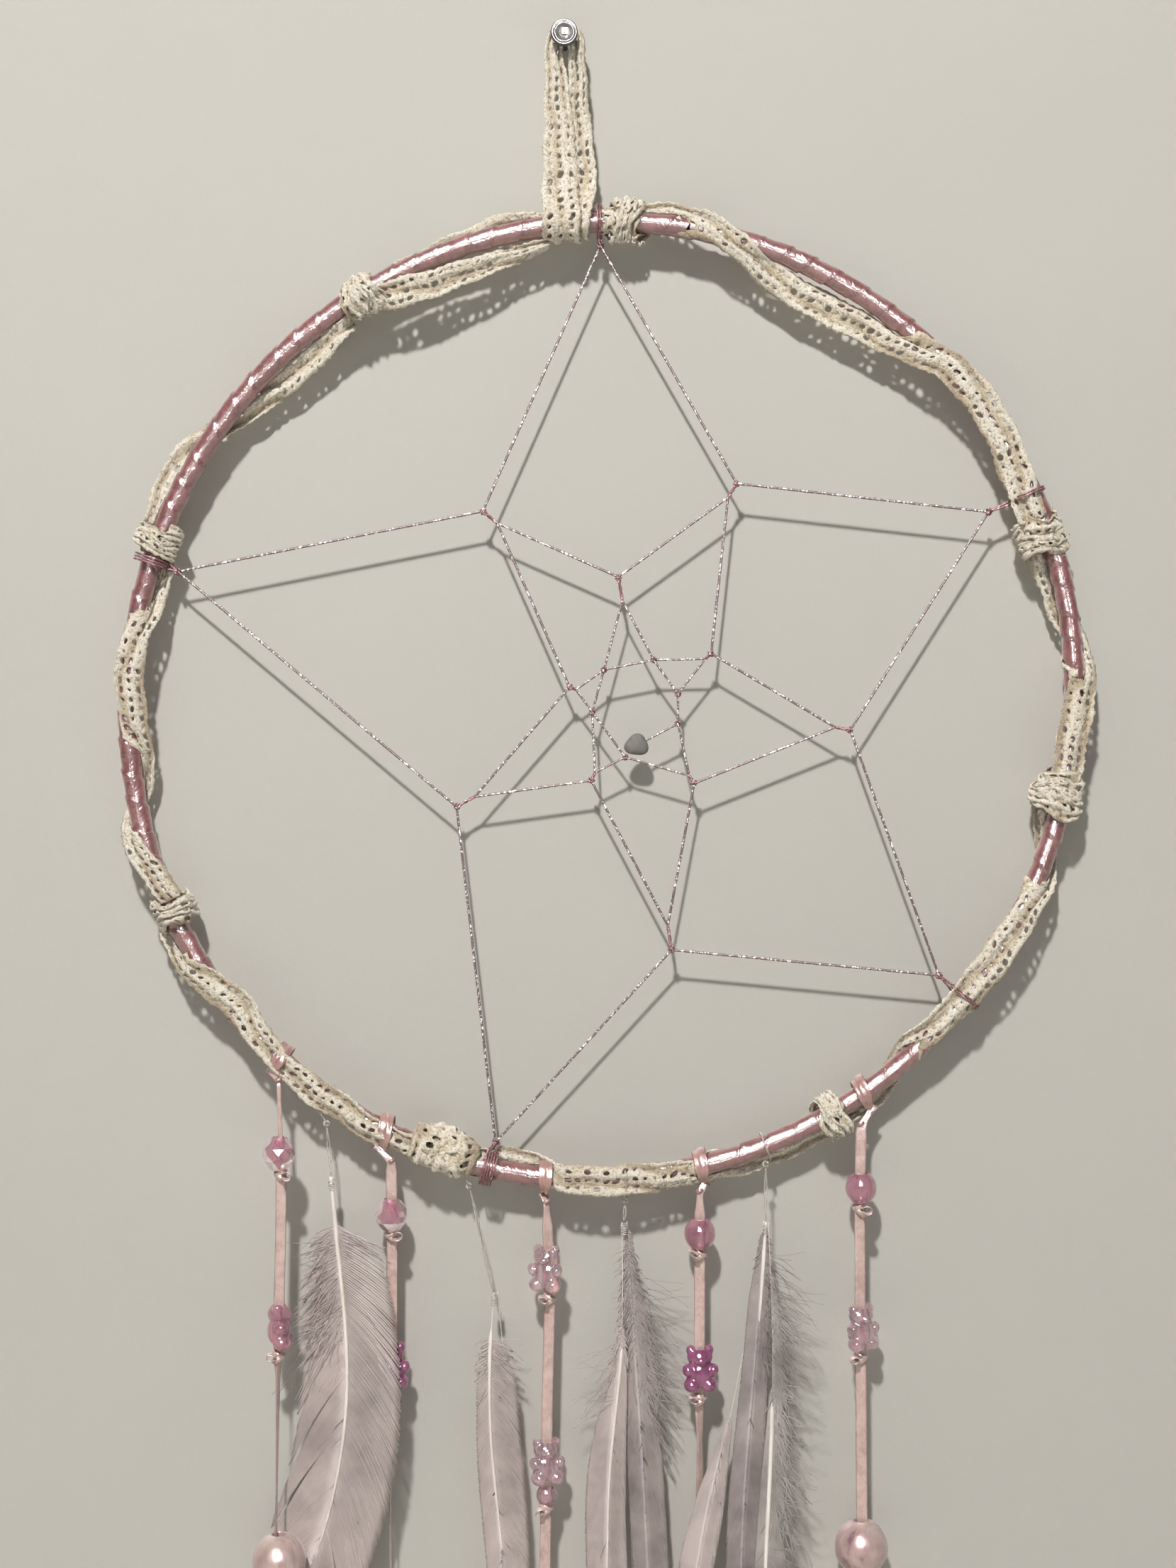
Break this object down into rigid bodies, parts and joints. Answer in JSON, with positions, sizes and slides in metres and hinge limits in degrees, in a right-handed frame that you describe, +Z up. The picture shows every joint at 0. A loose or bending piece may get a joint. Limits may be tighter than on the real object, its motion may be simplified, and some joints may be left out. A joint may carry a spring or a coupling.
{
  "type": "dream catcher",
  "caption": "Wall hanging: a ribbon and lace wrapped hoop with an open thread web, beaded ribbon strands and feather drops hung from its lower edge.",
  "frame": {"origin": "where the wall pin's axis meets the wall", "axes": "+Z up, +X to the viewer's right, +Y into the wall, so the object hangs on the -Y side"},
  "size_m": [0.3062, 0.035, 0.5411],
  "materials": {
    "chrome_pin": "polished",
    "clear_cap": "polished",
    "lace": "cotton lace",
    "steel_core": "plain wire",
    "rose_satin": "satin, strong sheen",
    "metallic_thread": "twisted metallic thread",
    "grey_stone": "tumbled",
    "pink_ribbon": "satin ribbon",
    "nylon_thread": "clear",
    "pink_bead": "clear tinted",
    "magenta_bead": "clear tinted",
    "blush_bead": "clear tinted",
    "pearl": "pearlescent",
    "feather": "soft barbs"
  },
  "bodies": {
    "pin": {"wall_pin": "chrome_pin", "pin_cap": "clear_cap"},
    "loop": {"hanging_loop": "lace", "loop_foot": "lace"},
    "hoop": {"hoop_core": "steel_core", "satin_wrap": "rose_satin", "lace_wrap_right": "lace", "lace_wrap_bottom": "lace", "lace_wrap_left": "lace", "lace_knots": "lace", "lace_tail": "lace", "web_round_1": "metallic_thread", "web_round_2": "metallic_thread", "web_round_3": "metallic_thread", "web_hitches": "metallic_thread", "ribbon_ties": "pink_ribbon", "thread_hitches": "nylon_thread"},
    "charm": {"stone_charm": "grey_stone"},
    "strand_1_knot": {"ribbon_knot_1": "pink_ribbon"},
    "strand_1": {"ribbon_1": "pink_ribbon"},
    "faceted_bead_1": {"faceted_bead_1": "pink_bead"},
    "bear_bead_1": {"bear_bead_1": "pink_bead"},
    "pearl_1": {"pearl_1": "pearl"},
    "strand_2_knot": {"ribbon_knot_2": "pink_ribbon"},
    "strand_2": {"ribbon_2": "pink_ribbon"},
    "faceted_bead_2": {"faceted_bead_2": "pink_bead"},
    "bear_bead_2": {"bear_bead_2": "magenta_bead"},
    "pearl_2": {"pearl_2": "pearl"},
    "strand_3_knot": {"ribbon_knot_3": "pink_ribbon"},
    "strand_3": {"ribbon_3": "pink_ribbon"},
    "upper_bear_bead_3": {"upper_bear_bead_3": "blush_bead"},
    "lower_bear_bead_3": {"lower_bear_bead_3": "blush_bead", "small_bead_3": "pink_bead"},
    "pearl_3": {"pearl_3": "pearl"},
    "strand_4_knot": {"ribbon_knot_4": "pink_ribbon"},
    "strand_4": {"ribbon_4": "pink_ribbon"},
    "round_bead_4": {"round_bead_4": "pink_bead"},
    "bear_bead_4": {"bear_bead_4": "magenta_bead"},
    "pearl_4": {"pearl_4": "pearl"},
    "strand_5_knot": {"ribbon_knot_5": "pink_ribbon"},
    "strand_5": {"ribbon_5": "pink_ribbon"},
    "round_bead_5": {"round_bead_5": "pink_bead"},
    "bear_bead_5": {"bear_bead_5": "blush_bead"},
    "pearl_5": {"pearl_5": "pearl"},
    "drop_1_knot": {"thread_knot_1": "nylon_thread"},
    "drop_1": {"feather_thread_1": "nylon_thread", "feather_1": "feather"},
    "drop_2_knot": {"thread_knot_2": "nylon_thread"},
    "drop_2": {"feather_thread_2": "nylon_thread", "feather_2a": "feather", "feather_2b": "feather"},
    "drop_3_knot": {"thread_knot_3": "nylon_thread"},
    "drop_3": {"feather_thread_3": "nylon_thread", "feather_3a": "feather", "feather_3b": "feather"},
    "drop_4_knot": {"thread_knot_4": "nylon_thread"},
    "drop_4": {"feather_thread_4": "nylon_thread", "feather_4a": "feather", "feather_4b": "feather", "feather_4c": "feather"}
  },
  "joints": [
    {"name": "loop_swing", "type": "hinge", "parent": "pin", "child": "loop", "pos_m": [0, 0, 0], "axis": [0, 1, 0], "range_deg": [-15, 15]},
    {"name": "hoop_tilt", "type": "hinge", "parent": "loop", "child": "hoop", "pos_m": [0.00075, -0.008, -0.05869], "axis": [-0.9951, 0, -0.0985], "range_deg": [0, 40]},
    {"name": "charm_turn", "type": "hinge", "parent": "hoop", "child": "charm", "pos_m": [0.0227, -0.008, -0.222], "axis": [-0.8874, 0, -0.4609], "range_deg": [-40, 40]},
    {"name": "strand_1_sway", "type": "hinge", "parent": "hoop", "child": "strand_1_knot", "pos_m": [-0.0886, -0.0145, -0.32602], "axis": [0, 1, 0], "range_deg": [-6, 6]},
    {"name": "strand_1_swing", "type": "hinge", "parent": "strand_1_knot", "child": "strand_1", "pos_m": [-0.0886, -0.0145, -0.32602], "axis": [-1, 0, 0], "range_deg": [0, 50]},
    {"name": "faceted_bead_1_slide", "type": "slide", "parent": "strand_1", "child": "faceted_bead_1", "axis": [0, 0, 1], "range_m": [0, 0.012]},
    {"name": "bear_bead_1_slide", "type": "slide", "parent": "strand_1", "child": "bear_bead_1", "axis": [0, 0, 1], "range_m": [0, 0.015]},
    {"name": "pearl_1_slide", "type": "slide", "parent": "strand_1", "child": "pearl_1", "axis": [0, 0, 1], "range_m": [0, 0.02]},
    {"name": "strand_2_sway", "type": "hinge", "parent": "hoop", "child": "strand_2_knot", "pos_m": [-0.0542, -0.009, -0.35211], "axis": [0, 1, 0], "range_deg": [-6, 6]},
    {"name": "strand_2_swing", "type": "hinge", "parent": "strand_2_knot", "child": "strand_2", "pos_m": [-0.0542, -0.009, -0.35211], "axis": [-1, 0, 0], "range_deg": [0, 50]},
    {"name": "faceted_bead_2_slide", "type": "slide", "parent": "strand_2", "child": "faceted_bead_2", "axis": [0, 0, 1], "range_m": [0, 0.0104]},
    {"name": "bear_bead_2_slide", "type": "slide", "parent": "strand_2", "child": "bear_bead_2", "axis": [0, 0, 1], "range_m": [0, 0.015]},
    {"name": "pearl_2_slide", "type": "slide", "parent": "strand_2", "child": "pearl_2", "axis": [0, 0, 1], "range_m": [0, 0.009]},
    {"name": "strand_3_sway", "type": "hinge", "parent": "hoop", "child": "strand_3_knot", "pos_m": [-0.0056, -0.01, -0.36466], "axis": [0, 1, 0], "range_deg": [-6, 6]},
    {"name": "strand_3_swing", "type": "hinge", "parent": "strand_3_knot", "child": "strand_3", "pos_m": [-0.0056, -0.01, -0.36466], "axis": [-1, 0, 0], "range_deg": [0, 50]},
    {"name": "upper_bear_bead_3_slide", "type": "slide", "parent": "strand_3", "child": "upper_bear_bead_3", "axis": [0, 0, 1], "range_m": [0, 0.0112]},
    {"name": "lower_bear_bead_3_slide", "type": "slide", "parent": "strand_3", "child": "lower_bear_bead_3", "axis": [0, 0, 1], "range_m": [0, 0.015]},
    {"name": "pearl_3_slide", "type": "slide", "parent": "strand_3", "child": "pearl_3", "axis": [0, 0, 1], "range_m": [0, 0.01]},
    {"name": "strand_4_sway", "type": "hinge", "parent": "hoop", "child": "strand_4_knot", "pos_m": [0.0424, -0.009, -0.36162], "axis": [0, 1, 0], "range_deg": [-6, 6]},
    {"name": "strand_4_swing", "type": "hinge", "parent": "strand_4_knot", "child": "strand_4", "pos_m": [0.0424, -0.009, -0.36162], "axis": [-1, 0, 0], "range_deg": [0, 50]},
    {"name": "round_bead_4_slide", "type": "slide", "parent": "strand_4", "child": "round_bead_4", "axis": [0, 0, 1], "range_m": [0, 0.0067]},
    {"name": "bear_bead_4_slide", "type": "slide", "parent": "strand_4", "child": "bear_bead_4", "axis": [0, 0, 1], "range_m": [0, 0.015]},
    {"name": "pearl_4_slide", "type": "slide", "parent": "strand_4", "child": "pearl_4", "axis": [0, 0, 1], "range_m": [0, 0.014]},
    {"name": "strand_5_sway", "type": "hinge", "parent": "hoop", "child": "strand_5_knot", "pos_m": [0.0927, -0.01, -0.34046], "axis": [0, 1, 0], "range_deg": [-6, 6]},
    {"name": "strand_5_swing", "type": "hinge", "parent": "strand_5_knot", "child": "strand_5", "pos_m": [0.0927, -0.01, -0.34046], "axis": [-1, 0, 0], "range_deg": [0, 50]},
    {"name": "round_bead_5_slide", "type": "slide", "parent": "strand_5", "child": "round_bead_5", "axis": [0, 0, 1], "range_m": [0, 0.012]},
    {"name": "bear_bead_5_slide", "type": "slide", "parent": "strand_5", "child": "bear_bead_5", "axis": [0, 0, 1], "range_m": [0, 0.015]},
    {"name": "pearl_5_slide", "type": "slide", "parent": "strand_5", "child": "pearl_5", "axis": [0, 0, 1], "range_m": [0, 0.02]},
    {"name": "drop_1_sway", "type": "hinge", "parent": "hoop", "child": "drop_1_knot", "pos_m": [-0.0744, -0.0094, -0.3403], "axis": [0, 1, 0], "range_deg": [-6, 6]},
    {"name": "drop_1_swing", "type": "hinge", "parent": "drop_1_knot", "child": "drop_1", "pos_m": [-0.0744, -0.0094, -0.3403], "axis": [-1, 0, 0], "range_deg": [0, 50]},
    {"name": "drop_2_sway", "type": "hinge", "parent": "hoop", "child": "drop_2_knot", "pos_m": [-0.0298, -0.009, -0.35997], "axis": [0, 1, 0], "range_deg": [-6, 6]},
    {"name": "drop_2_swing", "type": "hinge", "parent": "drop_2_knot", "child": "drop_2", "pos_m": [-0.0298, -0.009, -0.35997], "axis": [-1, 0, 0], "range_deg": [0, 50]},
    {"name": "drop_3_sway", "type": "hinge", "parent": "hoop", "child": "drop_3_knot", "pos_m": [0.0191, -0.009, -0.3644], "axis": [0, 1, 0], "range_deg": [-6, 6]},
    {"name": "drop_3_swing", "type": "hinge", "parent": "drop_3_knot", "child": "drop_3", "pos_m": [0.0191, -0.009, -0.3644], "axis": [-1, 0, 0], "range_deg": [0, 50]},
    {"name": "drop_4_sway", "type": "hinge", "parent": "hoop", "child": "drop_4_knot", "pos_m": [0.0627, -0.013, -0.35247], "axis": [0, 1, 0], "range_deg": [-6, 6]},
    {"name": "drop_4_swing", "type": "hinge", "parent": "drop_4_knot", "child": "drop_4", "pos_m": [0.0627, -0.013, -0.35247], "axis": [-1, 0, 0], "range_deg": [0, 50]}
  ],
  "couplings": [
    {"joint": "strand_2_sway", "follows": "strand_1_sway", "ratio": 1},
    {"joint": "strand_3_sway", "follows": "strand_1_sway", "ratio": 1},
    {"joint": "strand_4_sway", "follows": "strand_1_sway", "ratio": 1},
    {"joint": "strand_5_sway", "follows": "strand_1_sway", "ratio": 1},
    {"joint": "drop_1_sway", "follows": "strand_1_sway", "ratio": 1},
    {"joint": "drop_2_sway", "follows": "strand_1_sway", "ratio": 1},
    {"joint": "drop_3_sway", "follows": "strand_1_sway", "ratio": 1},
    {"joint": "drop_4_sway", "follows": "strand_1_sway", "ratio": 1},
    {"joint": "strand_2_swing", "follows": "strand_1_swing", "ratio": 1},
    {"joint": "drop_1_swing", "follows": "strand_1_swing", "ratio": 1},
    {"joint": "strand_4_swing", "follows": "drop_4_swing", "ratio": 1}
  ]
}
